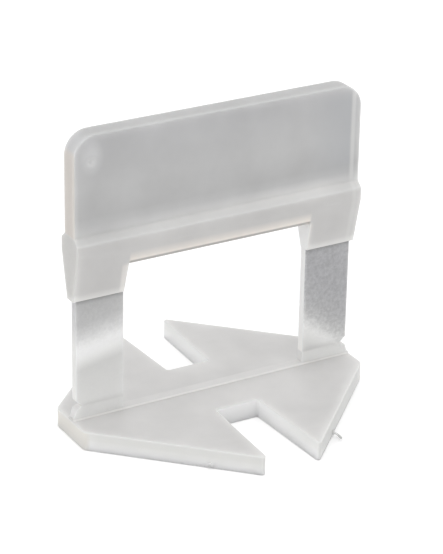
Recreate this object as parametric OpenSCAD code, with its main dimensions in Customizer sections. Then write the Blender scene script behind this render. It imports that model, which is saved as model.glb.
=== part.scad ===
// Tile levelling clip, moulded in one piece: a fishtail plate that lies under two tiles,
// two thin legs that stand in the joint between them and break off at notches just above the plate,
// and a thick head whose collar carries a wedge pushed through the window between the legs.
// Millimetres. X runs along the joint, Y across it and Z up.
// The origin is on the underside of the plate, at its middle.

/* [Plate] */
// Length of the plate along the joint
plate_length = 44.2; // [36:0.1:60]
// Depth of the plate across the joint, between the corners of its prongs before they are rounded
plate_depth = 43.6; // [34:0.1:60]
// Thickness of the plate
plate_thickness = 2.8; // [1.5:0.1:5]
// Width of the flat at each end of the plate
end_width = 7.9; // [4:0.1:14]
// Depth of the web left between the floors of the two slots
web_depth = 13.5; // [8:0.1:24]
// Width of each slot at its floor
slot_width = 6.7; // [4.5:0.1:12]
// Width of each slot at its mouth
slot_mouth = 8; // [5:0.1:14]
// Radius of each prong's tip, seen from above
tip_radius = 0.4; // [0.1:0.05:1]
// Radius of the inner corners of the slots, seen from above
slot_radius = 0.4; // [0.1:0.05:1.5]
// Radius of the corners at the ends of the plate, seen from above
end_radius = 1.2; // [0.2:0.1:2]

/* [Legs] */
// Thickness of the legs, which sets the joint between two tiles
leg_thickness = 1.25; // [0.8:0.05:1.7]
// Height of the legs, from the plate to the collar
leg_height = 17.7; // [8:0.1:30]
// Step in from each side of the collar to the outer edge of the leg
leg_inset = 0.55; // [0.1:0.05:1.5]

/* [Window] */
// Clear width between the legs
window_width = 28.5; // [18:0.1:34]
// Rise of the window's upper edge above the foot of the collar
window_rise = 4.4; // [1:0.1:6.5]
// Draw-in of each side of the window, from the foot of the collar to the window's upper edge
window_draft = 0.25; // [0:0.05:0.8]

/* [Break notches] */
// Height of the notch's point above the plate
notch_height = 2; // [0.8:0.1:4]
// Depth of the notch into the leg's outer edge
notch_depth = 0.9; // [0.3:0.1:2.5]
// Rise of the notch's upper flank, from its point to the leg's edge
notch_rise = 0.8; // [0.3:0.05:2]
// Drop of the notch's lower flank, from its point to the foot's edge
notch_drop = 0.5; // [0.1:0.05:0.7]

/* [Rib] */
// Height of the rib that joins the two feet across the plate
rib_height = 0.3; // [0.1:0.05:0.8]
// Spread of each flank of the rib, from its crest down to the plate
rib_spread = 0.2; // [0.1:0.05:1]
// Gap from each end of the rib to the end of the plate
rib_end_gap = 0.15; // [0.1:0.05:1]

/* [Collar] */
// Thickness of the collar at its land
collar_thickness = 4.7; // [3.6:0.1:8]
// Thickness of the collar at its foot
collar_foot = 1.75; // [1.75:0.05:3]
// Height of the taper, from the collar's foot to its land
collar_taper = 6.8; // [6.8:0.1:12]
// Height of the straight land
collar_land = 1.7; // [0.8:0.1:5]
// Radius that blends the taper into the land
land_radius = 2; // [0.2:0.1:3]
// Height of the sloping shoulder between the land and the head
shoulder_height = 0.85; // [0.5:0.05:2]
// Radius of the shoulder's edge, and of the hollow between it and the head
shoulder_radius = 0.5; // [0.1:0.05:0.8]

/* [Head] */
// Width of the head and its collar along the joint
head_width = 44; // [40:0.1:56]
// Height of the head above the shoulder
head_height = 14.15; // [8:0.05:30]
// Thickness of the head
head_thickness = 2.8; // [1.5:0.1:3.5]
// Radius of the head's upper corners
head_radius = 3.3; // [0.5:0.1:7]

/* [Ejector mark] */
// Width of the shallow dish that an ejector pin left on the head
mark_width = 2.6; // [1.2:0.1:4]
// Depth of the dish
mark_depth = 0.12; // [0.05:0.01:0.3]
// Width of the dimple in the middle of the dish
dimple_width = 0.8; // [0.3:0.1:1]
// Depth of the dimple below the dish
dimple_depth = 0.12; // [0.05:0.01:0.3]
// Distance from the middle of the dish to the side of the head
mark_from_side = 2.7; // [2.2:0.1:8]
// Distance from the middle of the dish to the top of the head
mark_from_top = 3.9; // [2.2:0.1:6]

/* [Gate stubs] */
// Width of the stub left on each front flank of the plate, where the mould was filled
gate_width = 0.7; // [0.4:0.1:1.2]
// How far the stub stands out of the flank
stub_length = 0.2; // [0.1:0.05:0.6]
// Height of the stub's middle above the underside of the plate
gate_z = 0.5; // [0.4:0.05:0.9]
// Distance along the flank from the end of the plate to the stub
gate_along = 17.6; // [6:0.1:22]
// Thickness of the tail left hanging on one stub
tail_width = 0.35; // [0.2:0.05:0.6]
// Radius of the tail's bend
tail_bend = 0.9; // [0.4:0.1:1.5]
// Turn of the tail's bend, from straight out of the flank towards the prong's tip
tail_turn = 50; // [20:5:90]
// Length of the tail beyond its bend
tail_length = 1.1; // [0.2:0.1:2]

/* [Hidden] */
$fn = 64;
plastic = [0.86, 0.86, 0.84, 0.85];

// How far a rounding stands out of the edges it blends, so that it crosses them and never just touches
round_overlap = 0.001;
// Angle by which a rounding's arc runs on past each of its edges
round_spare = 10;

// Heights above the underside of the plate
root_z = plate_thickness / 2;
notch_z = plate_thickness + notch_height;
collar_foot_z = plate_thickness + leg_height;
land_z = collar_foot_z + collar_taper;
land_top_z = land_z + collar_land;
shoulder_z = land_top_z + shoulder_height;
top_z = shoulder_z + head_height;
window_top_z = collar_foot_z + window_rise;

// Distances from the middle of the joint along X
head_x = head_width / 2;
leg_x = head_x - leg_inset;
foot_x = plate_length / 2 - rib_end_gap;

// Corners of the plate before rounding, from the end to the tip of a prong
plate_end = [plate_length / 2, end_width / 2];
plate_tip = [slot_mouth / 2, plate_depth / 2];

// A direction of length one
function unit(v) = v / norm(v);

// Radius of the ball that presses a dish of a given width and depth
function ball_radius(width, depth) = (pow(width / 2, 2) + pow(depth, 2)) / (2 * depth);

// A corner's place without its radius
function place(corner) = [corner[0], corner[1]];

// Half the angle between the two edges that meet at a corner
function half_angle(before, corner, after) =
    acos(unit(before - corner) * unit(after - corner)) / 2;

// Whether the outline, followed anticlockwise, turns outwards at a corner
function hollow(before, corner, after) = cross(corner - before, after - corner) < 0;

// The same corners on the other side of the middle, in reverse order
function other_side(corners) =
    [for (i = [len(corners) - 1:-1:0]) [-corners[i][0], corners[i][1], corners[i][2]]];

// The same corners turned half a turn about the origin
function turned(corners) = [for (c = corners) [-c[0], -c[1], c[2]]];

// A flat outline from corners given anticlockwise as [x, y, radius]
module rounded_outline(corners) {
    count = len(corners);
    function at(i) = place(corners[(i + count) % count]);
    function half(i) = half_angle(at(i - 1), at(i), at(i + 1));
    function towards(i, j) = at(i) + unit(at(j) - at(i)) * corners[i][2] / tan(half(i));
    module arc_at(i) {
        middle = unit(unit(at(i - 1) - at(i)) + unit(at(i + 1) - at(i)));
        radius = corners[i][2] + round_overlap;
        translate(at(i) + middle * corners[i][2] / sin(half(i)))
            rotate(atan2(-middle.y, -middle.x))
                intersection() {
                    circle(r = radius);
                    translate([radius * sin(half(i) - round_spare), -2 * radius])
                        square([2, 4] * radius);
                }
    }
    module rounds(in_hollows) {
        for (i = [0:count - 1])
            if (corners[i][2] > 0 && hollow(at(i - 1), at(i), at(i + 1)) == in_hollows)
                arc_at(i);
    }
    difference() {
        union() {
            polygon([
                for (i = [0:count - 1])
                    each corners[i][2] > 0 ? [towards(i, i - 1), towards(i, i + 1)] : [at(i)]
            ]);
            rounds(false);
        }
        rounds(true);
    }
}

// The plate: blunt ends, straight flanks and a flaring slot in from each tile's side
module plate() {
    quarter = [
        [plate_end.x, plate_end.y, end_radius],
        [plate_tip.x, plate_tip.y, tip_radius],
        [slot_width / 2, web_depth / 2, slot_radius]
    ];
    back_half = concat(quarter, other_side(quarter));
    linear_extrude(plate_thickness)
        rounded_outline(concat(back_half, turned(back_half)));
}

// The low rib that runs along the joint from foot to foot
module rib() {
    flank = [
        [leg_thickness / 2 + rib_spread, root_z, 0],
        [leg_thickness / 2 + rib_spread, plate_thickness, 0],
        [leg_thickness / 2, plate_thickness + rib_height, 0]
    ];
    along_joint(2 * foot_x)
        rounded_outline(concat(flank, other_side(flank)));
}

// Stands a profile drawn across the joint upright and runs it along the joint
module along_joint(length) {
    rotate([90, 0, 90])
        linear_extrude(length, center = true)
            children();
}

// Thickness of the strap at each height: leg, tapered collar, shoulder and head
module strap_profile() {
    side = [
        [leg_thickness / 2, root_z, 0],
        [leg_thickness / 2, collar_foot_z, 0],
        [collar_foot / 2, collar_foot_z, 0],
        [collar_thickness / 2, land_z, land_radius],
        [collar_thickness / 2, land_top_z, shoulder_radius],
        [head_thickness / 2, shoulder_z, shoulder_radius],
        [head_thickness / 2, top_z, 0]
    ];
    rounded_outline(concat(side, other_side(side)));
}

// Outline of the strap seen across the joint, with its notches and rounded head
module strap_outline() {
    side = [
        [foot_x, root_z, 0],
        [foot_x, plate_thickness, 0],
        [leg_x, notch_z - notch_drop, 0],
        [leg_x - notch_depth, notch_z, 0],
        [leg_x, notch_z + notch_rise, 0],
        [leg_x, collar_foot_z, 0],
        [head_x, collar_foot_z, 0],
        [head_x, top_z, head_radius]
    ];
    difference() {
        rounded_outline(concat(side, other_side(side)));
        window_outline();
    }
}

// The opening between the legs, drawn in a little where it runs up into the collar
module window_outline() {
    side = [
        [window_width / 2, 0, 0],
        [window_width / 2, collar_foot_z, 0],
        [window_width / 2 - window_draft, window_top_z, 0]
    ];
    rounded_outline(concat(side, other_side(side)));
}

// The two legs, the collar and the head
module strap() {
    intersection() {
        along_joint(plate_length + head_width)
            strap_profile();
        rotate([90, 0, 0])
            linear_extrude(2 * collar_thickness, center = true)
                strap_outline();
    }
}

// A ball sunk into the face of the head, at the ejector mark, to a given depth
module pressed_ball(radius, depth) {
    translate([mark_from_side - head_x, depth - head_thickness / 2 - radius, top_z - mark_from_top])
        sphere(r = radius);
}

// The dish and its dimple on the face of the head
module ejector_mark() {
    pressed_ball(ball_radius(mark_width, mark_depth), mark_depth);
    pressed_ball(ball_radius(dimple_width, dimple_depth), mark_depth + dimple_depth);
}

// Works at the gate on the right front flank: X points out of the flank and Y towards the end of the plate
module at_gate() {
    along = unit(plate_tip - plate_end);
    spot = plate_end + along * gate_along;
    translate([spot.x, -spot.y, gate_z])
        rotate(atan2(-along.x, along.y) - 90)
            children();
}

// The stub left on a flank, rooted in the plate
module gate_stub() {
    rotate([0, 90, 0])
        translate([0, 0, -gate_width])
            cylinder(d = gate_width, h = gate_width + stub_length);
}

// The thin tail of plastic that bends from the stub towards the prong's tip, clear of the flank
module gate_tail() {
    translate([stub_length - tail_width / 2, -tail_bend, 0])
        rotate(90 - tail_turn) {
            rotate_extrude(angle = tail_turn)
                translate([tail_bend, 0])
                    circle(d = tail_width);
            translate([tail_bend, 0, 0]) {
                rotate([90, 0, 0])
                    cylinder(d = tail_width, h = tail_length);
                translate([0, -tail_length, 0])
                    sphere(d = tail_width);
            }
        }
}

// The whole clip
module levelling_clip() {
    color(plastic) {
        plate();
        rib();
        difference() {
            strap();
            ejector_mark();
        }
        for (side = [0, 1])
            mirror([side, 0, 0])
                at_gate()
                    gate_stub();
        at_gate()
            gate_tail();
    }
}

levelling_clip();
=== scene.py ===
"""Looks of the tile levelling clip: one milky polypropylene moulding with grained legs.

The moulding takes its shape from the frame's solid. Its edges are eased, the break lines and the grain of the
legs are worked into their faces, and the finishes of the plate, legs and head are set. Lengths are in metres
unless a name ends in _mm.
"""

import logging
import math
from dataclasses import dataclass, field
from enum import Enum

import bmesh
import bpy
from mathutils import Matrix, Vector


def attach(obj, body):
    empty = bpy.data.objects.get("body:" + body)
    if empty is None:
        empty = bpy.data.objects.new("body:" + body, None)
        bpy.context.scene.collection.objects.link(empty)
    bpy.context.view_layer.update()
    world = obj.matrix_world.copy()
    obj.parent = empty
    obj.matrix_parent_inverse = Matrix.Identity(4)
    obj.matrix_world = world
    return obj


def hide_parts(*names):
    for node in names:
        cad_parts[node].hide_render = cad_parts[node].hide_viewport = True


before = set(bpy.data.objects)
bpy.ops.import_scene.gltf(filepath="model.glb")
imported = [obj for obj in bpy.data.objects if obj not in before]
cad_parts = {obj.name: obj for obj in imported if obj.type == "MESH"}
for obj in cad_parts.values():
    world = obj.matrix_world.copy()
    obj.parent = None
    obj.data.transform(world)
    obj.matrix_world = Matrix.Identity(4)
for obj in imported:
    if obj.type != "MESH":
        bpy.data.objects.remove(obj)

MM = 0.001
CLIP_NODE = "levelling_clip"
GRAIN = "grain"
LEG_FACE = "leg_face"

# heights of the plate's top, the rib's crest and the collar's foot
PLATE_MM = 2.8
RIB_MM = 3.1
COLLAR_MM = 20.5

ALONG = Vector((1, 0, 0))
ACROSS = Vector((0, 1, 0))
UP = Vector((0, 0, 1))

# a face counts as facing an axis from this cosine on
FACING = 0.99

# a cut keeps to corners that lie this near to it
CUT_REACH = 1e-7

Number = float | bpy.types.NodeSocket

log = logging.getLogger("clip")


def linear(code: str) -> tuple[float, float, float, float]:
    """Turns a colour written as sRGB hex into linear values.

    Args:
        code: Six hex digits after a hash sign.

    Returns:
        Linear red, green and blue, and an alpha of one.
    """
    parts = [int(code[i:i + 2], 16) / 255 for i in (1, 3, 5)]
    red, green, blue = (
        p / 12.92 if p <= 0.04045 else ((p + 0.055) / 1.055) ** 2.4 for p in parts
    )
    return red, green, blue, 1.0


def per_metre(size_mm: float) -> float:
    """Gives the scale at which a pattern repeats every size_mm on Object coordinates."""
    return 1.0 / (size_mm * MM)


def add_node(
    tree: bpy.types.NodeTree, kind: str, inputs: dict | None = None, **settings: object
) -> bpy.types.Node:
    """Adds a node with its settings and links.

    Args:
        tree: Tree that takes the node.
        kind: Blender's name for the kind of node.
        inputs: Values, or sockets to link from, by the input's name or number.
        **settings: Properties of the node itself; a ramp's "stops" are pairs of place and colour.

    Returns:
        The new node.
    """
    node = tree.nodes.new(kind)
    for place, colour in settings.pop("stops", ()):
        used = node.color_ramp.elements
        stop = used[0] if place == 0.0 else used[-1] if place == 1.0 else used.new(place)
        stop.color = colour
    for name, value in settings.items():
        setattr(node, name, value)
    for key, value in (inputs or {}).items():
        if isinstance(value, bpy.types.NodeSocket):
            tree.links.new(value, node.inputs[key])
        else:
            node.inputs[key].default_value = value
    return node


def ranged(
    tree: bpy.types.NodeTree,
    value: bpy.types.NodeSocket,
    span: tuple[float, float],
    levels: tuple[Number, Number] = (0.0, 1.0),
    **settings: object,
) -> bpy.types.NodeSocket:
    """Maps a span of values to a span of levels.

    Args:
        tree: Tree that takes the node.
        value: The value.
        span: Values at the first and the last level.
        levels: The first and the last level.
        **settings: Properties of the node.

    Returns:
        A socket with the level.
    """
    (low, high), (first, last) = span, levels
    return add_node(
        tree, "ShaderNodeMapRange",
        {"Value": value, "From Min": low, "From Max": high, "To Min": first, "To Max": last}, **settings,
    ).outputs["Result"]


def combined(
    tree: bpy.types.NodeTree, operation: str, first: Number, second: Number, **settings: object
) -> bpy.types.NodeSocket:
    """Combines two numbers by one of Blender's operations."""
    values = {0: first, 1: second}
    return add_node(tree, "ShaderNodeMath", values, operation=operation, **settings).outputs[0]


def scaled(
    tree: bpy.types.NodeTree, vector: bpy.types.NodeSocket, factor: bpy.types.NodeSocket
) -> bpy.types.NodeSocket:
    """Scales a vector or colour by a factor."""
    values = {0: vector, "Scale": factor}
    return add_node(tree, "ShaderNodeVectorMath", values, operation="SCALE").outputs["Vector"]


def mixed(
    tree: bpy.types.NodeTree,
    share: bpy.types.NodeSocket,
    first: bpy.types.NodeSocket,
    second: tuple | bpy.types.NodeSocket,
) -> bpy.types.NodeSocket:
    """Mixes a share of a second colour into a first one."""
    values = {"Factor": share, "A": first, "B": second}
    return add_node(tree, "ShaderNodeMix", values, data_type="RGBA").outputs["Result"]


def empty_tree(owner: bpy.types.Material | bpy.types.World) -> bpy.types.NodeTree:
    """Switches a material or world to nodes.

    Args:
        owner: The material or world.

    Returns:
        Its tree, with no nodes in it.
    """
    owner.use_nodes = True
    owner.node_tree.nodes.clear()
    return owner.node_tree


def in_scene(name: str, data: bpy.types.ID) -> bpy.types.Object:
    """Makes an object from its data and links it into the scene.

    Args:
        name: Name of the object.
        data: Its mesh, light or camera.

    Returns:
        The object.
    """
    made = bpy.data.objects.new(name, data)
    bpy.context.scene.collection.objects.link(made)
    return made


def plain_mesh(piece: bpy.types.Object) -> None:
    """Turns a piece with modifiers into the plain mesh that they give.

    Args:
        piece: Object whose modifiers are worked into its mesh and removed.
    """
    bpy.context.view_layer.update()
    graph = bpy.context.evaluated_depsgraph_get()
    made = bpy.data.meshes.new_from_object(
        piece.evaluated_get(graph), preserve_all_data_layers=True, depsgraph=graph
    )
    piece.modifiers.clear()
    old, piece.data = piece.data, made
    made.name = piece.name
    bpy.data.meshes.remove(old)


def cut_faces(
    mesh: bmesh.types.BMesh, faces: list[bmesh.types.BMFace], point_mm: Vector, square: Vector
) -> tuple[list[bmesh.types.BMFace], list[bmesh.types.BMEdge]]:
    """Cuts faces along a plane.

    Args:
        mesh: The moulding.
        faces: Faces to cut.
        point_mm: A point of the plane.
        square: Direction square to the plane.

    Returns:
        The faces that the cut leaves and the edges that lie in it.
    """
    geometry = {g for f in faces for g in (f, *f.edges, *f.verts)}
    cut = bmesh.ops.bisect_plane(
        mesh, geom=list(geometry), dist=CUT_REACH, plane_co=point_mm * MM, plane_no=square
    )
    left = [g for g in cut["geom"] if isinstance(g, bmesh.types.BMFace)]
    return left, [g for g in cut["geom_cut"] if isinstance(g, bmesh.types.BMEdge)]


class Part(Enum):
    """Zones of the moulding whose edges left the mould with different sharpness."""

    HEAD = "head"
    LEG = "leg"
    RIB = "rib"
    PLATE_TOP = "plate top"
    PLATE_END = "plate end"
    UNDERSIDE = "underside"
    MARK = "mark"


@dataclass(frozen=True)
class Zone:
    """Tone of the plastic at one height of the clip.

    The tones between heights are painted light and shade. The glow says how much paler the plastic is
    painted near its thin edges there, as painted light.
    """

    height_mm: float
    colour: str
    glow: float

    def stop(self, top_mm: float) -> tuple[float, tuple[float, float, float, float]]:
        """Gives the zone as a ramp's stop, with its glow as alpha."""
        return self.height_mm / top_mm, (*linear(self.colour)[:3], self.glow)


@dataclass(frozen=True)
class Streak:
    """A streak of another tone in the plastic, along the joint and up the clip; the streaks paint light and
    shade.

    Each pair is a place in millimetres and the streak's strength there.
    """

    colour: str
    heights_mm: tuple[tuple[float, float], ...]
    sides_mm: tuple[tuple[float, float], ...] = ((-22.1, 1.0), (22.1, 1.0))

    def share(
        self, tree: bpy.types.NodeTree, along: bpy.types.NodeSocket, height: bpy.types.NodeSocket
    ) -> bpy.types.NodeSocket:
        """Works out the streak's strength.

        Args:
            tree: Tree of the material.
            along: Place along the joint.
            height: Height above the plate's underside.

        Returns:
            A socket with the strength, up to one.
        """
        ramps = []
        for place, pairs in ((along, self.sides_mm), (height, self.heights_mm)):
            first, last = pairs[0][0], pairs[-1][0]
            level = ranged(tree, place, (first * MM, last * MM))
            stops = [((at - first) / (last - first), (s, s, s, 1.0)) for at, s in pairs]
            ramp = add_node(tree, "ShaderNodeValToRGB", {"Fac": level}, stops=stops)
            ramps.append(ramp.outputs["Color"])
        return combined(tree, "MULTIPLY", *ramps)


@dataclass(frozen=True)
class Spot:
    """A small spot of another tone, such as the mould leaves where it touches the plastic at one point.

    The stretch draws the spot out upwards, and each level is a share of the reach and the strength there.
    """

    colour: str
    place_mm: tuple[float, float, float]
    reach_mm: float
    stretch: float
    levels: tuple[tuple[float, float], ...]

    def share(self, tree: bpy.types.NodeTree, place: bpy.types.NodeSocket) -> bpy.types.NodeSocket:
        """Works out the spot's strength.

        Args:
            tree: Tree of the material.
            place: Object coordinates.

        Returns:
            A socket with the strength, up to one.
        """
        middle = tuple(c * MM for c in self.place_mm)
        offset = add_node(tree, "ShaderNodeVectorMath", {0: place, 1: middle}, operation="SUBTRACT")
        scale = per_metre(self.reach_mm)
        drawn = add_node(
            tree, "ShaderNodeVectorMath",
            {0: offset.outputs["Vector"], 1: (scale, scale, scale / self.stretch)}, operation="MULTIPLY",
        )
        away = add_node(tree, "ShaderNodeVectorMath", {0: drawn.outputs["Vector"]}, operation="LENGTH")
        return add_node(
            tree, "ShaderNodeValToRGB", {"Fac": away.outputs["Value"]},
            stops=[(at, (s, s, s, 1.0)) for at, s in self.levels],
        ).outputs["Color"]


@dataclass(frozen=True)
class Polypropylene:
    """Natural polypropylene, so milky that light spreads in it: what its two finishes share."""

    ior: float = 1.49
    transmission: float = 0.12
    spread: tuple[float, float, float] = (1.0, 1.0, 0.98)

    def finish(self, tree: bpy.types.NodeTree, depth_mm: float, looks: dict) -> None:
        """Ends a material's tree with the plastic's shader.

        Args:
            tree: Tree of the material.
            depth_mm: How far light spreads in the plastic.
            looks: Values or sockets that one finish alone sets, by the shader's inputs.
        """
        shader = add_node(
            tree, "ShaderNodeBsdfPrincipled",
            {
                **looks,
                "IOR": self.ior,
                "Transmission Weight": self.transmission,
                "Subsurface Weight": 1.0,
                "Subsurface Radius": self.spread,
                "Subsurface Scale": depth_mm * MM,
            },
        )
        add_node(tree, "ShaderNodeOutputMaterial", {"Surface": shader.outputs["BSDF"]})


@dataclass(frozen=True)
class MilkyPolypropylene(Polypropylene):
    """The plastic from a satin steel mould.

    Its walls and thin edges are painted paler than its broad faces, as painted light; its tones by height
    and its streaks paint further light and shade. Slow clouds follow the flow in the mould, and a faint
    orange peel breaks up the sheen.
    """

    name: str = "natural_polypropylene_satin"
    # on the legs' edges and the collar's foot; the glow is painted light at thin edges
    # tones by height, with painted shade on the head, its top and the collar's shoulder, and painted light
    zones: tuple[Zone, ...] = (
        Zone(0.0, "#dad9d8", 0.12),
        Zone(3.1, "#dad9d8", 0.1),
        Zone(4.6, "#dbdad9", 0.0),
        Zone(4.85, "#e4e3e1", 0.5),
        Zone(6.0, "#e6e5e3", 0.6),
        Zone(12.0, "#eeeeec", 1.0),
        Zone(20.4, "#f0efed", 1.0),
        Zone(21.6, "#dad9d8", 0.15),
        Zone(26.0, "#d9d8d7", 0.1),
        Zone(28.6, "#d8d7d6", 0.0),
        Zone(29.2, "#d4d4d3", 0.0),
        Zone(29.8, "#d6d6d5", 0.0),
        Zone(30.4, "#d5d5d5", 0.05),
        Zone(32.5, "#c9c9c9", 0.05),
        Zone(36.5, "#cfcfcf", 0.05),
        Zone(43.4, "#c9c9ca", 0.05),
        Zone(44.0, "#c0c0c0", 0.05),
    )
    streaks: tuple[Streak, ...] = (
        # walls of the plate: painted light towards the foot and painted shade below the top edge
        Streak("#ffffff", ((0.0, 1.0), (0.5, 0.9), (1.2, 0.3), (1.8, 0.0))),
        Streak("#d4d4d2", ((1.4, 0.0), (2.2, 0.35), (2.6, 0.5), (2.78, 0.55), (2.8, 0.0))),
        # walls of the slots painted paler inwards, as painted light, and of the flanks painted greyer to the
        # right, as painted shade
        Streak(
            "#ffffff", ((0.0, 0.8), (2.5, 0.8), (2.72, 0.0)),
            ((-4.0, 0.0), (-3.35, 1.0), (3.35, 1.0), (4.0, 0.0)),
        ),
        Streak(
            "#cacac8", ((0.0, 1.0), (2.5, 1.0), (2.72, 0.0)),
            (
                (-21.4, 0.0), (-20.6, 0.12), (-6.0, 0.12), (-4.2, 0.5), (-4.1, 0.0),
                (4.1, 0.0), (4.3, 0.65), (9.0, 0.6), (20.0, 0.6), (21.4, 0.3), (21.8, 0.0),
            ),
        ),
        # rib: a painted highlight along its flanks
        Streak("#f1f0ee", ((2.81, 0.0), (2.84, 0.85), (3.0, 0.8), (3.06, 0.15), (3.2, 0.0))),
        # shoulder of the collar: a band of painted light, stronger to the right
        Streak(
            "#f7f6f5",
            ((28.4, 0.0), (29.1, 0.5), (29.8, 0.9), (30.2, 0.8), (31.4, 0.0)),
            ((-22.1, 0.1), (-6.0, 0.35), (15.5, 0.6), (19.5, 0.3), (22.1, 0.2)),
        ),
        # a warm painted glow over the window, and a line of painted shade along its edge
        Streak(
            "#fff8f1", ((24.9, 0.0), (25.4, 1.0), (25.9, 0.6), (26.8, 0.0)),
            ((-14.2, 0.0), (-13.9, 0.8), (8.0, 0.85), (13.9, 1.0), (14.2, 0.0)),
        ),
        Streak(
            "#949290", ((24.4, 0.0), (24.8, 0.9), (25.2, 0.8), (25.5, 0.0)),
            ((-14.2, 0.0), (-13.9, 1.0), (13.9, 1.0), (14.2, 0.0)),
        ),
        # sides of the window and inner edges of the legs: painted light
        Streak(
            "#fffaf5", ((4.65, 0.0), (4.85, 0.6), (7.0, 0.9), (20.5, 1.0), (24.6, 1.0), (25.2, 0.0)),
            ((-15.2, 0.0), (-14.9, 0.4), (-14.35, 0.5), (-14.3, 1.0), (14.3, 1.0), (14.35, 0.3), (14.7, 0.0)),
        ),
        # ends of the plate and head painted a little warmer and paler, as painted light, and the left end of
        # the collar painted darker, as painted shade
        Streak(
            "#e3e0da", ((0.0, 0.9), (2.5, 0.9), (2.75, 0.0)),
            ((-22.1, 1.0), (-21.9, 1.0), (-21.4, 0.0), (21.4, 0.0), (21.9, 1.0), (22.1, 1.0)),
        ),
        Streak(
            "#d3cdc7", ((29.7, 0.0), (30.0, 0.9), (43.0, 0.9), (43.8, 0.0)),
            ((-22.1, 1.0), (-21.95, 1.0), (-21.75, 0.0)),
        ),
        Streak(
            "#c8c7c4", ((20.5, 0.0), (20.7, 0.75), (29.6, 0.75), (29.9, 0.0)),
            ((-22.1, 1.0), (-22.05, 1.0), (-21.7, 0.0)),
        ),
        # right end of the head and collar: painted shade near the end and a painted light line, where the
        # side shows through
        Streak(
            "#c3c5c8", ((30.6, 0.0), (33.0, 1.0), (42.0, 1.0), (43.4, 0.0)),
            ((13.0, 0.0), (19.0, 0.5), (20.2, 0.6), (20.6, 0.0)),
        ),
        Streak(
            "#ececeb", ((20.4, 0.0), (20.6, 0.6), (29.0, 0.6), (31.0, 1.0), (42.4, 1.0), (43.6, 0.2)),
            ((20.3, 0.0), (20.65, 0.5), (20.95, 0.5), (21.2, 0.0), (22.1, 0.0)),
        ),
        # outer edges of the legs: painted shade, as grey as their faces
        Streak(
            "#c6c6c7", ((5.6, 0.0), (9.0, 0.3), (13.0, 0.4), (17.0, 0.9), (20.4, 1.0), (20.6, 0.0)),
            ((-22.1, 1.0), (-21.2, 1.0), (-21.0, 0.0), (21.0, 0.0), (21.2, 1.0), (22.1, 1.0)),
        ),
        # floors of the slots: painted light
        Streak(
            "#ffffff", ((0.0, 0.9), (2.55, 0.9), (2.72, 0.0)),
            ((-3.4, 0.0), (-3.1, 1.0), (3.1, 1.0), (3.4, 0.0)),
        ),
    )
    # painted light on the plate's walls and on thin edges, for the light that the plastic carries there
    painted_wall_light: str = "#efefed"
    edge: str = "#f3f2ef"
    spots: tuple[Spot, ...] = (
        # paler around the ejector pin's point and drawn upwards, with painted light over the pin's dimple
        # against its shade
        Spot("#ececec", (-19.3, -1.3, 40.8), 1.8, 1.5, ((0.0, 0.36), (0.35, 0.4), (0.65, 0.25), (1.0, 0.0))),
        Spot("#f0f0f0", (-19.3, -1.3, 40.1), 0.9, 1.0, ((0.0, 0.3), (0.45, 0.3), (1.0, 0.0))),
        # darker at the torn stub of the left gate and at the end of the right gate's tail, spreading onto
        # the flank beside the tail as painted shade
        Spot("#a9a9a8", (-9.8, -16.5, 0.25), 0.55, 1.0, ((0.0, 0.8), (0.5, 0.6), (1.0, 0.0))),
        Spot("#9c9c9b", (9.75, -18.2, 0.5), 1.3, 1.0, ((0.0, 0.9), (0.5, 0.7), (1.0, 0.0))),
    )
    thin_mm: float = 1.3
    bulk_share: float = 0.93
    thin_share: float = 0.55
    wall_top_mm: float = 2.85
    wall_tilt: tuple[float, float] = (0.85, 0.35)
    cloud_mm: float = 7.0
    cloud_span: tuple[float, float] = (0.25, 0.75)
    cloud_share: float = 0.14
    peel_mm: float = 0.9
    peel_span: tuple[float, float] = (0.3, 0.7)
    peel_depth_mm: float = 0.006
    peel_strength: float = 0.3
    depth_mm: float = 2.0
    roughness: tuple[float, float] = (0.34, 0.46)

    def cloudy(
        self, tree: bpy.types.NodeTree, place: bpy.types.NodeSocket, colour: bpy.types.NodeSocket
    ) -> bpy.types.NodeSocket:
        """Adds slow clouds to a colour.

        Args:
            tree: Tree of the material.
            place: Object coordinates.
            colour: The colour without clouds.

        Returns:
            A socket with the clouded colour.
        """
        clouds = add_node(
            tree, "ShaderNodeTexNoise",
            {"Vector": place, "Scale": per_metre(self.cloud_mm), "Detail": 3.0, "Roughness": 0.5},
        )
        half = self.cloud_share / 2
        shade = ranged(tree, clouds.outputs["Fac"], self.cloud_span, (1.0 - half, 1.0 + half))
        return scaled(tree, colour, shade)

    def wall_share(self, tree: bpy.types.NodeTree, height: bpy.types.NodeSocket) -> bpy.types.NodeSocket:
        """Finds the plate's upright walls, which get painted light.

        Args:
            tree: Tree of the material.
            height: Height above the plate's underside.

        Returns:
            A socket that is one on the walls.
        """
        normal = add_node(tree, "ShaderNodeNewGeometry").outputs["Normal"]
        tilt = add_node(tree, "ShaderNodeSeparateXYZ", {"Vector": normal}).outputs["Z"]
        upright = add_node(tree, "ShaderNodeMath", {0: tilt}, operation="ABSOLUTE")
        steep = ranged(tree, upright.outputs[0], self.wall_tilt)
        low = combined(tree, "LESS_THAN", height, self.wall_top_mm * MM)
        return combined(tree, "MULTIPLY", steep, low)

    def painted_edge_light_share(self, tree: bpy.types.NodeTree, glow: bpy.types.NodeSocket) -> bpy.types.NodeSocket:
        """Finds where little plastic lies under the surface, for the painted light of thin edges.

        Args:
            tree: Tree of the material.
            glow: How much paler thin plastic gets.

        Returns:
            A socket that is the glow at thin edges and nought over thick plastic.
        """
        bulk = add_node(
            tree, "ShaderNodeAmbientOcclusion",
            {"Distance": self.thin_mm * MM}, inside=True, only_local=True, samples=16,
        )
        thin = ranged(tree, bulk.outputs["AO"], (self.bulk_share, self.thin_share))
        return combined(tree, "MULTIPLY", thin, glow)

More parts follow.
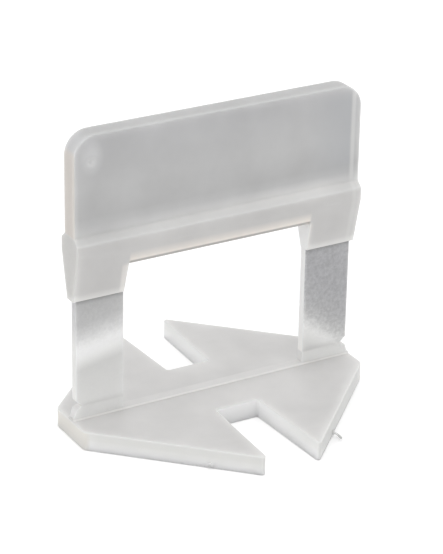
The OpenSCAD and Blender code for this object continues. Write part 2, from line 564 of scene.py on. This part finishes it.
    def tone(self, tree: bpy.types.NodeTree, place: bpy.types.NodeSocket) -> bpy.types.NodeSocket:
        """Works out the plastic's colour.

        Args:
            tree: Tree of the material.
            place: Object coordinates.

        Returns:
            A socket with the colour.
        """
        axes = add_node(tree, "ShaderNodeSeparateXYZ", {"Vector": place}).outputs
        top = self.zones[-1].height_mm
        level = combined(tree, "MULTIPLY", axes["Z"], per_metre(top))
        zone = add_node(tree, "ShaderNodeValToRGB", {"Fac": level}, stops=[z.stop(top) for z in self.zones])
        colour = self.cloudy(tree, place, zone.outputs["Color"])
        # painted light on the walls and thin edges, then streaks of painted light and shade, and the spots
        layers = (
            (self.wall_share(tree, axes["Z"]), self.painted_wall_light),
            (self.painted_edge_light_share(tree, zone.outputs["Alpha"]), self.edge),
            *((s.share(tree, axes["X"], axes["Z"]), s.colour) for s in self.streaks),
            *((s.share(tree, place), s.colour) for s in self.spots),
        )
        for share, other in layers:
            colour = mixed(tree, share, colour, linear(other))
        return colour

    def material(self) -> bpy.types.Material:
        """Builds the material.

        Returns:
            The finished material.
        """
        made = bpy.data.materials.new(self.name)
        tree = empty_tree(made)
        place = add_node(tree, "ShaderNodeTexCoord").outputs["Object"]
        peel = add_node(
            tree, "ShaderNodeTexNoise",
            {"Vector": place, "Scale": per_metre(self.peel_mm), "Detail": 2.0},
        ).outputs["Fac"]
        bump = add_node(
            tree, "ShaderNodeBump",
            {"Height": peel, "Strength": self.peel_strength, "Distance": self.peel_depth_mm * MM},
        )
        looks = {
            "Base Color": self.tone(tree, place),
            "Roughness": ranged(tree, peel, self.peel_span, self.roughness),
            "Normal": bump.outputs["Normal"],
        }
        self.finish(tree, self.depth_mm, looks)
        return made


@dataclass(frozen=True)
class GrainEnd:
    """The sloping line on each leg where the eroded grain ends, by height above the plate."""

    # at this line the legs' painted shade gives way to a painted band of light
    points_mm: tuple[tuple[float, float], ...] = ((-22.0, 9.7), (-14.0, 11.2), (14.0, 6.2), (22.0, 0.6))

    def above(self, x_mm: float, z_mm: float) -> float:
        """Measures how far a point lies above the line.

        Args:
            x_mm: Place along the joint.
            z_mm: Height above the plate's underside.

        Returns:
            Millimetres above the line, or less than nought below it.
        """
        pairs = zip(self.points_mm, self.points_mm[1:])
        (x0, z0), (x1, z1) = next(p for p in pairs if x_mm <= p[1][0])
        return z_mm - PLATE_MM - z0 - (z1 - z0) * (x_mm - x0) / (x1 - x0)


@dataclass(frozen=True)
class GrainedPolypropylene(Polypropylene):
    """The same plastic where the mould was spark-eroded.

    The eroded steel leaves a coarse matt grain on the legs, full at the collar and fading out at the line
    where it ends. Their tone is painted shade and light: grey painted shade above, a pale painted band of
    light at the grain's end, and painted light below it, as pale as the plate. Grains are about a third of a
    millimetre wide and are drawn at that size.
    """

    name: str = "natural_polypropylene_grained"
    # at the end, and painted light below it, as pale as the plate
    # tones of each leg by height over the grain's end: painted shade above, a pale painted band of light
    left: tuple[tuple[float, str], ...] = (
        (-8.0, "#eaeae9"), (-2.6, "#dfdfde"), (-0.3, "#fbfbfa"), (0.3, "#fdfdfc"),
        (2.0, "#e5e5e5"), (4.0, "#d0d0d0"), (8.0, "#c5c5c5"),
    )
    right: tuple[tuple[float, str], ...] = (
        (-8.0, "#e8e8e7"), (-2.5, "#e4e4e3"), (0.0, "#f2f2f1"),
        (2.2, "#d5d5d5"), (4.2, "#c6c6c7"), (8.0, "#bfbfc1"),
    )
    shadow: str = "#a6a6a7"
    # painted light on the leg below the score
    stub: str = "#e8e8e7"
    # heights of the painted light below the score and the painted shade just above it, and that shade's share
    break_mm: tuple[float, float, float] = (4.6, 4.9, 5.6)
    score_shade_share: float = 0.08
    specks_left: float = 0.05
    specks_right: float = 0.12
    specks_least: float = 0.01
    specks_fade: tuple[float, float] = (0.44, 0.6)
    grain_mm: float = 0.4
    grain_span: tuple[float, float] = (0.3, 0.7)
    shadow_mm: float = 0.7
    shadow_share: float = 0.8
    reach_mm: float = 16.0
    end: GrainEnd = field(default_factory=GrainEnd)
    depth_mm: float = 1.2
    roughness: float = 0.55

    def fade(self, tree: bpy.types.NodeTree, axes: bpy.types.NodeOutputs) -> bpy.types.NodeSocket:
        """Measures how far a point lies above the line where the grain ends.

        Args:
            tree: Tree of the material.
            axes: Object coordinates, axis by axis.

        Returns:
            A socket that is a half on the line and one at half the reach above it.
        """
        (first, _), (last, _) = self.end.points_mm[0], self.end.points_mm[-1]
        line = add_node(
            tree, "ShaderNodeValToRGB", {"Fac": ranged(tree, axes["X"], (first * MM, last * MM))},
            stops=[
                ((x - first) / (last - first), (z / self.reach_mm,) * 3 + (1.0,))
                for x, z in self.end.points_mm
            ],
        )
        span = (PLATE_MM * MM, (PLATE_MM + self.reach_mm) * MM)
        height = ranged(tree, axes["Z"], span, (0.5, 1.5), clamp=False)
        return combined(tree, "SUBTRACT", height, line.outputs["Color"], use_clamp=True)

    def specks(
        self,
        tree: bpy.types.NodeTree,
        place: bpy.types.NodeSocket,
        fade: bpy.types.NodeSocket,
        side: bpy.types.NodeSocket,
    ) -> bpy.types.NodeSocket:
        """Gives the shade of the single grains.

        Args:
            tree: Tree of the material.
            place: Object coordinates.
            fade: Height over the line where the grain ends.
            side: Nought on the left leg and one on the right.

        Returns:
            A socket with a factor for the colour, near one where there is no grain.
        """
        grains = add_node(
            tree, "ShaderNodeTexNoise",
            {"Vector": place, "Scale": per_metre(self.grain_mm), "Detail": 2.0, "Roughness": 0.6},
        )
        centred = ranged(tree, grains.outputs["Fac"], self.grain_span, (-1.0, 1.0))
        share = ranged(tree, side, (0.0, 1.0), (self.specks_left, self.specks_right))
        strength = ranged(tree, fade, self.specks_fade, (self.specks_least, share))
        return add_node(
            tree, "ShaderNodeMath", {0: centred, 1: strength, 2: 1.0}, operation="MULTIPLY_ADD"
        ).outputs[0]

    def tone(self, tree: bpy.types.NodeTree, place: bpy.types.NodeSocket) -> bpy.types.NodeSocket:
        """Works out the legs' colour.

        Args:
            tree: Tree of the material.
            place: Object coordinates.

        Returns:
            A socket with the colour.
        """
        axes = add_node(tree, "ShaderNodeSeparateXYZ", {"Vector": place}).outputs
        fade = self.fade(tree, axes)
        left, right = (
            add_node(
                tree, "ShaderNodeValToRGB", {"Fac": fade},
                stops=[(0.5 + above / self.reach_mm, linear(colour)) for above, colour in tones],
            )
            for tones in (self.left, self.right)
        )
        # the legs' tone is painted shade and light, set apart for the left and right leg
        side = combined(tree, "GREATER_THAN", axes["X"], 0.0)
        painted_leg_shade_and_light = mixed(tree, side, left.outputs["Color"], right.outputs["Color"])
        collar = ((COLLAR_MM - self.shadow_mm) * MM, COLLAR_MM * MM)
        under_collar = ranged(tree, axes["Z"], collar, (0.0, self.shadow_share))
        shaded = mixed(tree, under_collar, painted_leg_shade_and_light, linear(self.shadow))
        # painted shade just above the score, and painted light on the leg below it
        low, line, high = (z * MM for z in self.break_mm)
        painted_score_shade = ranged(tree, axes["Z"], (line, high), (1.0 - self.score_shade_share, 1.0))
        below = ranged(tree, axes["Z"], (line, low))
        broken = mixed(tree, below, scaled(tree, shaded, painted_score_shade), linear(self.stub))
        return scaled(tree, broken, self.specks(tree, place, fade, side))

    def material(self) -> bpy.types.Material:
        """Builds the material.

        Returns:
            The finished material.
        """
        made = bpy.data.materials.new(self.name)
        tree = empty_tree(made)
        place = add_node(tree, "ShaderNodeTexCoord").outputs["Object"]
        looks = {"Base Color": self.tone(tree, place), "Roughness": self.roughness}
        self.finish(tree, self.depth_mm, looks)
        return made


@dataclass
class BreakLine:
    """The shallow score across both faces of each leg, level with its notch, where the clip snaps off."""

    height_mm: float = 4.8
    width_mm: float = 0.56
    depth_mm: float = 0.1
    face_mm: float = 0.625
    from_mm: float = 14.6
    to_mm: float = 20.2
    near_mm: float = 0.01
    level_mm: float = 0.001

    def crossed(self, mesh: bmesh.types.BMesh, height_mm: float) -> list[bmesh.types.BMFace]:
        """Finds the legs' faces that a level line crosses.

        Args:
            mesh: The moulding, with eased edges.
            height_mm: Height of the line above the plate's underside.

        Returns:
            The front and back faces of both legs at that height.
        """
        found = []
        for face in mesh.faces:
            heights = [v.co.z / MM for v in face.verts]
            on_leg = self.from_mm < abs(face.calc_center_bounds().x) / MM < self.to_mm
            if on_leg and abs(face.normal.y) > FACING and min(heights) < height_mm < max(heights):
                found.append(face)
        return found

    def score(self, mesh: bmesh.types.BMesh) -> None:
        """Presses the line into the legs' faces.

        Args:
            mesh: The moulding, with eased edges.
        """
        half = self.width_mm / 2
        for level in (self.height_mm - half, self.height_mm + half, self.height_mm):
            cut_faces(mesh, self.crossed(mesh, level), UP * level, UP)
        for place in (-self.to_mm, -self.from_mm, self.from_mm, self.to_mm):
            below = self.crossed(mesh, self.height_mm - half / 2)
            strips = below + self.crossed(mesh, self.height_mm + half / 2)
            cut_faces(mesh, strips, ALONG * place, ALONG)
        near = self.near_mm
        for v in mesh.verts:
            x, y, z = (abs(c) / MM for c in v.co)
            on_face = abs(y - self.face_mm) < near and self.from_mm - near < x < self.to_mm + near
            if on_face and abs(z - self.height_mm) < self.level_mm:
                v.co.y -= math.copysign(self.depth_mm * MM, v.co.y)
        mesh.normal_update()


@dataclass
class LegGrain:
    """The eroded grain that stands in the front and back faces of both legs."""

    inner_mm: float = 14.25
    outer_mm: float = 21.45
    foot_mm: float = 5.6
    within_mm: float = 1.0
    panel_mm2: float = 50.0
    broad_from: float = 0.7
    margin_mm: float = 0.3
    cell_mm: float = 0.15
    size_mm: float = 0.32
    depth_mm: float = 0.05
    rest_level: float = 0.6
    fade_mm: float = 1.5
    least: float = 0.1
    seed: int = 7
    end: GrainEnd = field(default_factory=GrainEnd)

    def rule(self, mesh: bmesh.types.BMesh) -> None:
        """Rules each leg's faces into a fine grid and marks how deep the grain may go at each point.

        Args:
            mesh: The moulding, with eased edges.
        """
        low = self.inner_mm + self.margin_mm
        high = self.outer_mm - self.margin_mm
        bottom = self.foot_mm + self.margin_mm
        top = COLLAR_MM - self.margin_mm
        for side in (-1, 1):
            for face in (-1, 1):
                leg = [
                    f for f in mesh.faces
                    if f.normal.y * face > FACING and self.on_leg(f, side)
                    and f.calc_area() > self.panel_mm2 * MM * MM
                ]
                for axis, value in ((ALONG, side * low), (ALONG, side * high), (UP, bottom), (UP, top)):
                    leg, _ = cut_faces(mesh, leg, axis * value, axis)
                panel = max(leg, key=lambda f: f.calc_area())
                halves, _ = cut_faces(mesh, [panel], UP * ((bottom + top) / 2), UP)
                edges = {e for f in halves for e in f.edges}
                cuts = round((high - low) / self.cell_mm) - 1
                bmesh.ops.subdivide_edges(mesh, edges=list(edges), cuts=cuts, use_grid_fill=True)
        grain = mesh.verts.layers.float.new(GRAIN)
        for v in mesh.verts:
            x, z = abs(v.co.x) / MM, v.co.z / MM
            inset = min(x - low, high - x, z - bottom, top - z)
            if inset > 0 and abs(v.co.y) / MM < self.within_mm:
                over = self.end.above(v.co.x / MM, z) / self.fade_mm
                v[grain] = min(1.0, inset / (2 * self.cell_mm)) * min(1.0, max(self.least, over))
        broad = mesh.faces.layers.float.new(LEG_FACE)
        for f in mesh.faces:
            middle = f.calc_center_bounds() / MM
            on_leg = abs(middle.x) > self.inner_mm and RIB_MM < middle.z < COLLAR_MM
            f[broad] = float(on_leg and abs(f.normal.y) > self.broad_from)

    def on_leg(self, face: bmesh.types.BMFace, side: int) -> bool:
        """Tells whether a face lies on the leg of one side."""
        middle = face.calc_center_bounds() / MM
        return self.inner_mm < side * middle.x < self.outer_mm and self.foot_mm < middle.z < COLLAR_MM

    def tree(self) -> bpy.types.NodeTree:
        """Builds the node tree that works the grain into the marked faces.

        Returns:
            A geometry node tree with inputs for the grain's size, depth and seed and the two finishes.
        """
        tree = bpy.data.node_groups.new("leg_grain", "GeometryNodeTree")
        for name, kind in (
            ("Geometry", "Geometry"), ("Grain Size", "Float"), ("Grain Depth", "Float"),
            ("Seed", "Int"), ("Satin", "Material"), ("Grained", "Material"),
        ):
            tree.interface.new_socket(name, in_out="INPUT", socket_type=f"NodeSocket{kind}")
        tree.interface.new_socket("Geometry", in_out="OUTPUT", socket_type="NodeSocketGeometry")
        given = add_node(tree, "NodeGroupInput").outputs
        scale = combined(tree, "DIVIDE", 1.0, given["Grain Size"])
        noise = add_node(
            tree, "ShaderNodeTexNoise",
            {"W": given["Seed"], "Scale": scale, "Detail": 2.0, "Roughness": 0.6}, noise_dimensions="4D",
        )
        share = add_node(tree, "GeometryNodeInputNamedAttribute", {"Name": GRAIN}, data_type="FLOAT")
        centred = combined(tree, "SUBTRACT", noise.outputs["Fac"], self.rest_level)
        height = combined(tree, "MULTIPLY", centred, given["Grain Depth"])
        worked = combined(tree, "MULTIPLY", height, share.outputs[0])
        normal = add_node(tree, "GeometryNodeInputNormal").outputs["Normal"]
        moved = add_node(
            tree, "GeometryNodeSetPosition",
            {"Geometry": given["Geometry"], "Offset": scaled(tree, normal, worked)},
        )
        real = add_node(tree, "GeometryNodeRealizeInstances", {"Geometry": moved.outputs["Geometry"]})
        satin = add_node(
            tree, "GeometryNodeSetMaterial",
            {"Geometry": real.outputs["Geometry"], "Material": given["Satin"]},
        )
        broad = add_node(tree, "GeometryNodeInputNamedAttribute", {"Name": LEG_FACE}, data_type="FLOAT")
        marked = add_node(
            tree, "FunctionNodeCompare", {"A": broad.outputs[0], "B": 0.5},
            data_type="FLOAT", operation="GREATER_THAN",
        )
        grained = add_node(
            tree, "GeometryNodeSetMaterial",
            {
                "Geometry": satin.outputs["Geometry"],
                "Selection": marked.outputs[0],
                "Material": given["Grained"],
            },
        )
        add_node(tree, "NodeGroupOutput", {"Geometry": grained.outputs["Geometry"]})
        return tree

    def work(self, piece: bpy.types.Object, satin: bpy.types.Material, grained: bpy.types.Material) -> None:
        """Works the grain into a ruled moulding and sets both finishes.

        Args:
            piece: The moulding, with its legs ruled.
            satin: Finish of the plate, collar and head.
            grained: Finish of the legs' faces.
        """
        tree = self.tree()
        modifier = piece.modifiers.new("leg_grain", "NODES")
        modifier.node_group = tree
        values = {
            "Grain Size": self.size_mm * MM,
            "Grain Depth": self.depth_mm * MM,
            "Seed": self.seed,
            "Satin": satin,
            "Grained": grained,
        }
        for item in tree.interface.items_tree:
            if item.in_out == "INPUT" and item.name in values:
                modifier[item.identifier] = values[item.name]


@dataclass
class Moulding:
    """The whole clip as it leaves the mould: the frame's solid with eased edges and scored, grained legs."""

    ease_mm: dict[Part, float] = field(
        default_factory=lambda: {
            Part.HEAD: 0.2,
            Part.LEG: 0.1,
            Part.RIB: 0.0,
            Part.PLATE_TOP: 0.12,
            Part.PLATE_END: 0.12,
            Part.UNDERSIDE: 0.1,
            Part.MARK: 0.0,
        }
    )
    sharp_deg: float = 36.0
    flat_deg: float = 0.6
    merge_mm: float = 0.002
    steps: int = 3
    near_mm: float = 0.01
    coplanar: float = 0.999
    plane_mm: float = 0.05
    flat_weight: int = 100
    rib_foot_mm: float = 0.825
    head_mm: float = 2.8
    plate_end_mm: float = 22.1
    end_zone_mm: float = 0.4
    gate_mm: tuple[float, float] = (9.57, -16.31)
    gate_zone_mm: float = 2.9
    stub_mm: float = 1.0
    mark_mm: tuple[float, float] = (-19.3, 40.1)
    mark_zone_mm: float = 1.5
    break_line: BreakLine = field(default_factory=BreakLine)
    grain: LegGrain = field(default_factory=LegGrain)
    satin: MilkyPolypropylene = field(default_factory=MilkyPolypropylene)
    grained: GrainedPolypropylene = field(default_factory=GrainedPolypropylene)

    def part_of(self, edge: bmesh.types.BMEdge) -> Part:
        """Names the zone that an edge of the moulding belongs to.

        Args:
            edge: An edge of the solid.

        Returns:
            The zone, which gives how far the edge is eased.
        """
        a, b = (v.co / MM for v in edge.verts)
        middle = (a + b) / 2
        gate_x, gate_y = self.gate_mm
        from_gate = math.hypot(abs(middle.x) - gate_x, middle.y - gate_y)
        if from_gate < self.gate_zone_mm and edge.calc_length() < self.stub_mm * MM:
            return Part.MARK
        mark_x, mark_z = self.mark_mm
        if math.hypot(middle.x - mark_x, middle.z - mark_z) < self.mark_zone_mm and middle.y < 0:
            return Part.MARK
        top = max(a.z, b.z)
        if top < self.near_mm:
            return Part.UNDERSIDE
        if top < PLATE_MM + self.near_mm:
            at_end = abs(middle.x) > self.plate_end_mm - self.end_zone_mm
            return Part.PLATE_END if at_end else Part.PLATE_TOP
        if top < RIB_MM + self.near_mm:
            return Part.RIB
        return Part.LEG if top < COLLAR_MM + self.near_mm else Part.HEAD

    def rule_seams(self, mesh: bmesh.types.BMesh) -> None:
        """Rules a seam across each flat face that has an island, so that the rest of it can be one face.

        Args:
            mesh: The solid in triangles.
        """
        gate_x, gate_y = self.gate_mm
        mark_x, _ = self.mark_mm
        seams = [(UP, Vector((0, y, PLATE_MM)), ACROSS) for y in (self.rib_foot_mm, -self.rib_foot_mm)]
        seams.append((-ACROSS, Vector((mark_x, -self.head_mm / 2, 0)), ALONG))
        for side in (-1, 1):
            out = Vector((side, -1, 0)).normalized()
            seams.append((out, Vector((side * gate_x, gate_y, 0)), Vector((side, 1, 0))))
        for normal, point, square in seams:
            faces = [
                f for f in mesh.faces
                if f.normal.dot(normal) > self.coplanar
                and abs((f.verts[0].co / MM - point).dot(normal)) < self.plane_mm
            ]
            _, lines = cut_faces(mesh, faces, point, square)
            for line in lines:
                line.seam = True

    def solid(self) -> bmesh.types.BMesh:
        """Copies the frame's solid, merges its triangles into whole faces and marks how each edge is eased.

        Returns:
            The solid as one closed mesh.
        """
        mesh = bmesh.new()
        mesh.from_mesh(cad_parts[CLIP_NODE].data)
        bmesh.ops.remove_doubles(mesh, verts=mesh.verts, dist=self.merge_mm * MM)
        self.rule_seams(mesh)
        bmesh.ops.dissolve_limit(
            mesh, angle_limit=math.radians(self.flat_deg),
            verts=mesh.verts, edges=mesh.edges, delimit={"SEAM"},
        )
        weight = mesh.edges.layers.float.new("bevel_weight_edge")
        most = max(self.ease_mm.values())
        for edge in mesh.edges:
            if edge.calc_face_angle_signed() > math.radians(self.sharp_deg):
                edge[weight] = self.ease_mm[self.part_of(edge)] / most
        return mesh

    def ease(self, piece: bpy.types.Object) -> None:
        """Eases the marked edges of the moulding.

        Args:
            piece: The moulding with its edges marked.
        """
        bevel = piece.modifiers.new("ease", "BEVEL")
        bevel.limit_method = "WEIGHT"
        bevel.offset_type = "OFFSET"
        bevel.width = max(self.ease_mm.values()) * MM
        bevel.segments = self.steps
        bevel.use_clamp_overlap = False
        bevel.loop_slide = True
        plain_mesh(piece)

    def smooth(self, piece: bpy.types.Object) -> None:
        """Shades eased edges smoothly and keeps inner corners crisp.

        Args:
            piece: The moulding with its grain worked in.
        """
        mesh = piece.data
        mesh.shade_smooth()
        mesh.set_sharp_from_angle(angle=math.radians(self.sharp_deg))
        weighted = piece.modifiers.new("flat_faces", "WEIGHTED_NORMAL")
        weighted.keep_sharp = True
        weighted.weight = self.flat_weight
        plain_mesh(piece)

    def build(self) -> bpy.types.Object:
        """Builds the moulding and dresses it.

        Returns:
            The finished piece, riding on its body in place of the frame's node.
        """
        mesh = bpy.data.meshes.new("clip_moulding")
        solid = self.solid()
        solid.to_mesh(mesh)
        solid.free()
        piece = in_scene("clip_moulding", mesh)
        self.ease(piece)
        eased = bmesh.new()
        eased.from_mesh(piece.data)
        bmesh.ops.dissolve_degenerate(eased, dist=self.merge_mm * MM, edges=eased.edges)
        self.break_line.score(eased)
        self.grain.rule(eased)
        eased.to_mesh(piece.data)
        eased.free()
        self.grain.work(piece, self.satin.material(), self.grained.material())
        plain_mesh(piece)
        self.smooth(piece)
        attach(piece, "root")
        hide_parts(CLIP_NODE)
        return piece


@dataclass(frozen=True)
class Softbox:
    """A large square lamp that points at the middle of the clip."""

    name: str
    place: tuple[float, float, float]
    side: float
    power: float

    def build(self, target: Vector) -> bpy.types.Object:
        """Makes the lamp.

        Args:
            target: Point that the lamp faces.

        Returns:
            The lamp.
        """
        light = bpy.data.lights.new(self.name, "AREA")
        light.shape = "SQUARE"
        light.size = self.side
        light.energy = self.power
        lamp = in_scene(self.name, light)
        lamp.location = self.place
        lamp.rotation_mode = "QUATERNION"
        lamp.rotation_quaternion = (target - Vector(self.place)).to_track_quat("-Z", "Y")
        return lamp


@dataclass
class Studio:
    """Plain pale floor, white surroundings, softboxes and the camera."""

    floor_side: float = 6.0
    floor_gap: float = 0.00004
    floor_colour: str = "#f7f7f7"
    floor_lift: float = 0.2
    sky: float = 0.87
    boxes: tuple[Softbox, ...] = (
        Softbox("top_softbox", (-0.05, -0.05, 0.6), 0.5, 0.5),
        Softbox("left_softbox", (-0.6, -0.1, 0.25), 0.4, 0.45),
        Softbox("right_softbox", (0.6, 0.0, 0.25), 0.4, 0.4),
    )
    middle: Vector = field(default_factory=lambda: Vector((0.0, 0.0, 0.022)))
    focal_px: float = 2474.1
    frame_px: int = 554
    sensor_mm: float = 36.0
    clip_start: float = 0.01
    eye: tuple[float, float, float] = (-0.154698, -0.264145, 0.160069)
    ahead: tuple[float, float, float] = (0.46171915, 0.78237901, -0.41796951)
    right: tuple[float, float, float] = (0.86508468, -0.50133034, 0.01721616)

    def shown(self, tree: bpy.types.NodeTree) -> bpy.types.NodeSocket:
        """Adds a factor for rays that meet the surroundings in or through the clip.

        Args:
            tree: Tree of the floor or the world.

        Returns:
            A socket that is one for glossy and transmitted rays.
        """
        path = add_node(tree, "ShaderNodeLightPath").outputs
        return combined(tree, "MAXIMUM", path["Is Glossy Ray"], path["Is Transmission Ray"])

    def seen(self, tree: bpy.types.NodeTree) -> bpy.types.NodeSocket:
        """Adds a factor that is one for camera rays.

        Args:
            tree: Tree of the floor or the world.

        Returns:
            A socket that is one for camera rays.
        """
        return add_node(tree, "ShaderNodeLightPath").outputs["Is Camera Ray"]

    def world(self) -> None:
        """Makes surroundings that look white and light the clip at a plain level."""
        made = bpy.data.worlds.new("studio")
        tree = empty_tree(made)
        white = combined(tree, "MAXIMUM", self.seen(tree), self.shown(tree))
        strength = ranged(tree, white, (0.0, 1.0), (self.sky, 1.0))
        light = add_node(
            tree, "ShaderNodeBackground", {"Color": (1.0, 1.0, 1.0, 1.0), "Strength": strength}
        )
        add_node(tree, "ShaderNodeOutputWorld", {"Surface": light.outputs["Background"]})
        bpy.context.scene.world = made

    def floor(self) -> bpy.types.Object:
        """Makes the floor, which looks white and keeps the clip's shadow.

        Returns:
            The floor.
        """
        made = bpy.data.materials.new("matt_paper_floor")
        tree = empty_tree(made)
        paper = add_node(tree, "ShaderNodeBsdfDiffuse", {"Color": linear(self.floor_colour)})
        lift = ranged(tree, self.seen(tree), (0.0, 1.0), (0.0, self.floor_lift))
        glow = add_node(tree, "ShaderNodeEmission", {"Strength": lift})
        lifted = add_node(
            tree, "ShaderNodeAddShader", {0: paper.outputs["BSDF"], 1: glow.outputs["Emission"]}
        )
        white = add_node(tree, "ShaderNodeEmission", {"Strength": 1.0})
        both = add_node(
            tree, "ShaderNodeMixShader",
            {0: self.shown(tree), 1: lifted.outputs["Shader"], 2: white.outputs["Emission"]},
        )
        add_node(tree, "ShaderNodeOutputMaterial", {"Surface": both.outputs["Shader"]})
        mesh = bpy.data.meshes.new("floor")
        half = self.floor_side / 2
        corners = [(-half, -half), (half, -half), (half, half), (-half, half)]
        mesh.from_pydata([(x, y, -self.floor_gap) for x, y in corners], [], [(0, 1, 2, 3)])
        mesh.materials.append(made)
        floor = in_scene("floor", mesh)
        return floor

    def camera(self) -> bpy.types.Object:
        """Sets up the camera at the photograph's viewpoint.

        Returns:
            The camera.
        """
        lens = bpy.data.cameras.new("camera")
        lens.sensor_width = self.sensor_mm
        lens.lens = self.focal_px * self.sensor_mm / self.frame_px
        lens.clip_start = self.clip_start
        camera = in_scene("camera", lens)
        ahead = Vector(self.ahead).normalized()
        right = Vector(self.right).normalized()
        up = right.cross(ahead)
        turn = Matrix((right, up, -ahead)).transposed().to_4x4()
        camera.matrix_world = Matrix.Translation(self.eye) @ turn
        bpy.context.scene.camera = camera
        return camera

    def build(self) -> list[bpy.types.Object]:
        """Builds the whole studio.

        Returns:
            The camera, floor and lamps.
        """
        self.world()
        bpy.context.scene.view_settings.view_transform = "Standard"
        return [self.camera(), self.floor(), *(box.build(self.middle) for box in self.boxes)]


def main() -> None:
    """Builds the clip and the studio in order and reports each piece."""
    logging.basicConfig(level=logging.INFO, format="%(name)s: %(message)s")
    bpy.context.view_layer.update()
    piece = Moulding().build()
    log.info("%s: %d faces", piece.name, len(piece.data.polygons))
    for made in Studio().build():
        log.info("studio: %s", made.name)


if __name__ == "__main__":
    main()
